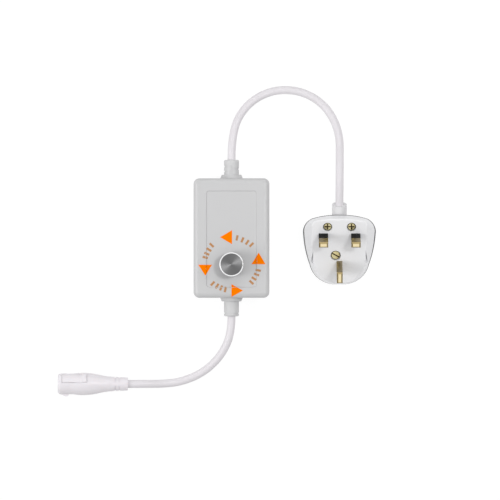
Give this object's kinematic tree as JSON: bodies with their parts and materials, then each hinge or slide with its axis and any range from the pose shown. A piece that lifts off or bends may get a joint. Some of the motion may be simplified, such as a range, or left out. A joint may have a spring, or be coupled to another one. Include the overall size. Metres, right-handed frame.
{
  "type": "dimmer power cord",
  "caption": "Mains cord for a light strip, with an inline dimmer case and turning knob, a pinned mains plug and an inline socket connector.",
  "frame": {"origin": "centre of the dimmer case's flat underside", "axes": "+Y along the case towards the mains cord, +Z out of the knob's face, +X to the right seen from the knob's side"},
  "size_m": [0.2185, 0.2136, 0.0389],
  "materials": {
    "case": "satin moulded",
    "gland": "soft moulded",
    "plug": "gloss moulded",
    "connector": "satin moulded",
    "cord": "smooth sheath",
    "core": "insulated core",
    "knob": "turned",
    "alloy": "extruded",
    "steel": "plated",
    "brass": "turned",
    "copper": "enamelled wire",
    "black": "moulded",
    "board": "laminate",
    "film": "dipped",
    "glass": "clear tube",
    "ceramic": "unglazed",
    "ink": "printed ink"
  },
  "bodies": {
    "cord_set": {"case_base": "case", "case_cover": "case", "case_screws": "steel", "input_gland": "gland", "output_gland": "gland", "pot_body": "steel", "pot_bush": "brass", "pot_washer": "steel", "pot_nut": "steel", "pot_terminals": "brass", "circuit_board": "board", "board_fuse": "glass", "film_capacitor": "film", "choke": "copper", "bridge_rectifier": "black", "bulk_capacitor": "black", "heatsink": "alloy", "power_transistor": "black", "control_chip": "black", "resistors": "black", "input_wires": "core", "output_wires": "core", "plug_base": "plug", "plug_cover": "plug", "plug_sleeve": "gland", "cord_grip": "gland", "cover_screw": "brass", "grip_screws": "brass", "line_pin": "brass", "neutral_pin": "brass", "earth_pin": "brass", "pin_sleeves": "black", "plug_fuse": "ceramic", "fuse_clips": "brass", "terminal_screws": "brass", "plug_wires": "core", "connector_body": "connector", "connector_insert": "connector", "contact_tubes": "brass", "connector_tail": "connector", "connector_wires": "core", "input_cord": "cord", "output_cord": "cord"},
    "knob": {"knob_cap": "knob", "knob_core": "black", "pot_shaft": "steel", "pot_wiper": "black"},
    "catch": {"connector_latch": "connector"}
  },
  "joints": [
    {"name": "knob_turn", "type": "hinge", "parent": "cord_set", "child": "knob", "pos_m": [0, -0.018, 0.0245], "axis": [0, 0, 1], "range_deg": [-145, 145]},
    {"name": "latch_press", "type": "hinge", "parent": "cord_set", "child": "catch", "pos_m": [-0.1159, -0.09651, 0.01313], "axis": [0, 0.8192, -0.5736], "range_deg": [0, 1.8], "stiffness_Nm_per_rad": 1.4}
  ]
}
